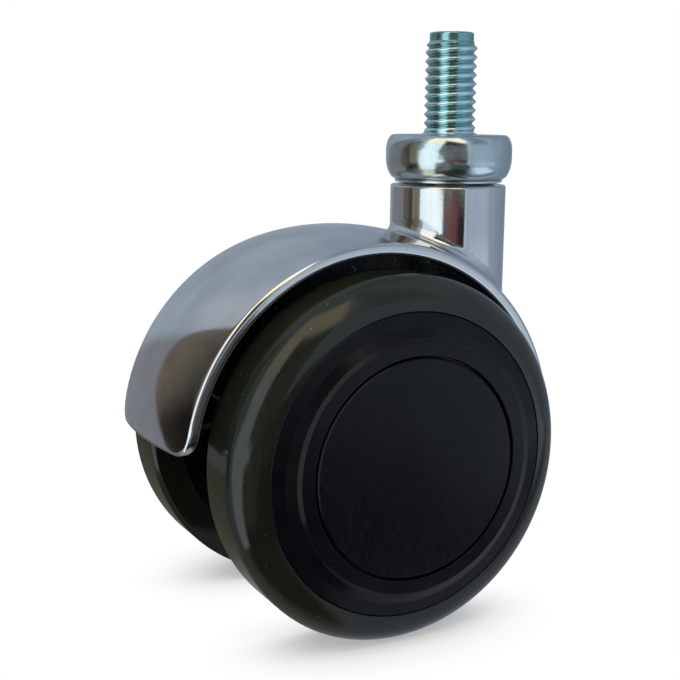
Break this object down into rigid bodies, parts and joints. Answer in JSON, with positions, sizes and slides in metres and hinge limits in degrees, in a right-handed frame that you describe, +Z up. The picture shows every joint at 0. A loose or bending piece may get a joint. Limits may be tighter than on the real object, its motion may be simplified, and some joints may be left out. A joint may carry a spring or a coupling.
{
  "type": "stem castor",
  "caption": "Twin-wheel swivel castor: a chromed hood over dark soft-tread wheels on a common axle, with a round collar and a threaded mounting stem.",
  "frame": {"origin": "on the swivel axis, at the top face of the stem's collar, where the castor seats against what it carries", "axes": "+Z up along the threaded stem, axle parallel to Y, wheels trailing towards -X"},
  "size_m": [0.0739, 0.0562, 0.1041],
  "materials": {
    "zinc_plate": "bright zinc plate with a blue tint",
    "bright_steel": "bright turned steel",
    "spring_steel": "blackened spring steel",
    "chrome": "polished chrome on a die casting",
    "bearing_plastic": "natural nylon",
    "black_plastic": "satin black moulding",
    "cap_plastic": "black moulding with a fine straight grain",
    "tread": "glossy dark olive polyurethane"
  },
  "bodies": {
    "stem": {"threaded_stem": "zinc_plate", "thrust_washer": "bright_steel", "retaining_washer": "bright_steel", "stem_clip": "spring_steel"},
    "swivel_body": {"hood": "chrome", "upper_bush": "bearing_plastic", "lower_bush": "bearing_plastic", "axle": "bright_steel", "spacer_left": "bearing_plastic", "spacer_right": "bearing_plastic", "hub_washer_left": "bright_steel", "hub_washer_right": "bright_steel", "axle_clip_left": "spring_steel", "axle_clip_right": "spring_steel"},
    "left_wheel": {"wheel_core_left": "black_plastic", "tread_left": "tread", "hub_cap_left": "cap_plastic"},
    "right_wheel": {"wheel_core_right": "black_plastic", "tread_right": "tread", "hub_cap_right": "cap_plastic"}
  },
  "joints": [
    {"name": "swivel", "type": "hinge", "parent": "stem", "child": "swivel_body", "pos_m": [0, 0, 0], "axis": [0, 0, 1], "continuous": true},
    {"name": "left_wheel_spin", "type": "hinge", "parent": "swivel_body", "child": "left_wheel", "pos_m": [-0.0228, 0, -0.05395], "axis": [0, 1, 0], "continuous": true},
    {"name": "right_wheel_spin", "type": "hinge", "parent": "swivel_body", "child": "right_wheel", "pos_m": [-0.0228, 0, -0.05395], "axis": [0, 1, 0], "continuous": true}
  ]
}
